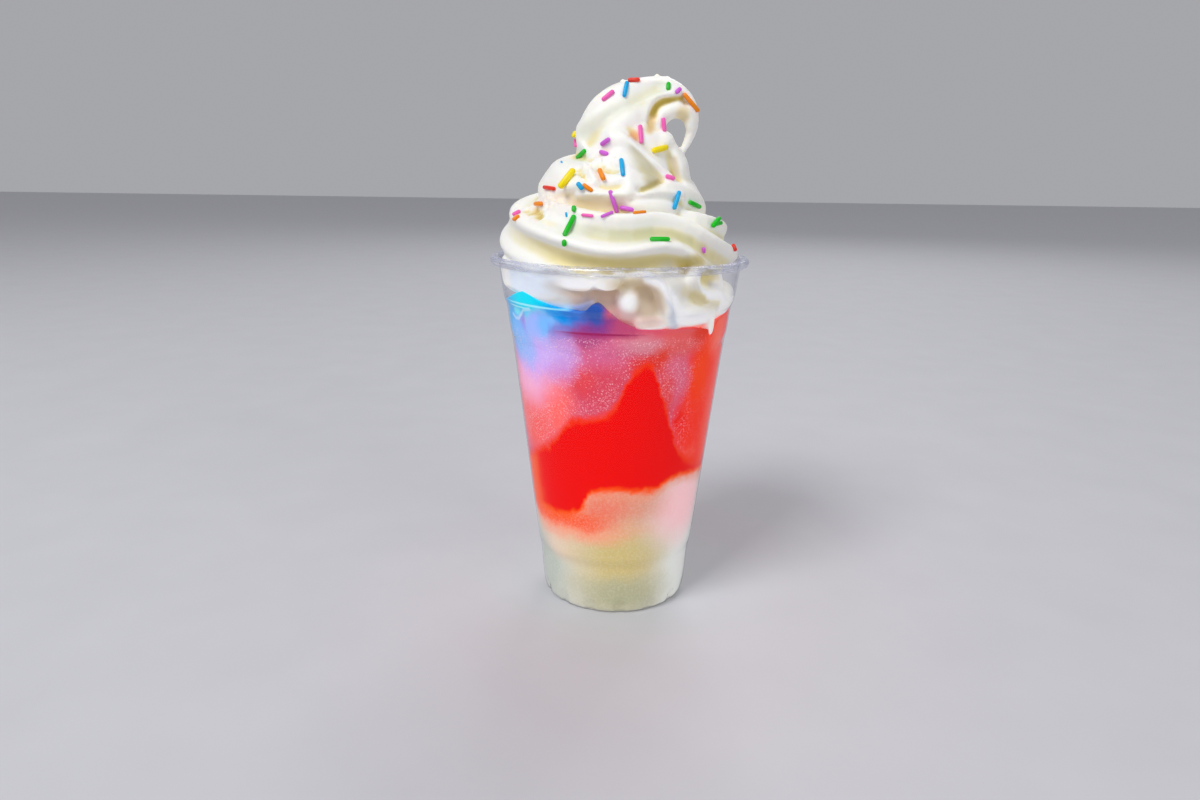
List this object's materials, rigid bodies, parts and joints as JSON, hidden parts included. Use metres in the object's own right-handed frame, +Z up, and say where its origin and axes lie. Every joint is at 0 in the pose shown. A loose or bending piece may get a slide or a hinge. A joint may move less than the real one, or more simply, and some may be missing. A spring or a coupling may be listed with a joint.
{
  "type": "frozen slush drink",
  "caption": "Layered frozen slush in a tall clear disposable cup, topped with a coiled swirl of soft ice cream and coloured sugar sprinkles.",
  "frame": {"origin": "middle of the cup's foot ring, on the surface that the cup stands on", "axes": "+Z up along the cup's axis; -Y is the front, and the tip of the swirl hooks over towards +X"},
  "size_m": [0.0979, 0.0979, 0.2008],
  "materials": {
    "clear_plastic": "clear, glossy thin plastic",
    "white_slush": "wet, grainy ice",
    "red_slush": "wet, grainy ice",
    "pink_slush": "wet, frosty ice",
    "blue_slush": "wet, grainy ice",
    "ice_cream": "soft and creamy, half matt",
    "sugar_sprinkles": "smooth sugar in seven colours"
  },
  "bodies": {
    "root": {"cup": "clear_plastic", "slush_white": "white_slush", "slush_red": "red_slush", "slush_pink": "pink_slush", "slush_blue": "blue_slush", "soft_serve": "ice_cream"}
  },
  "joints": []
}
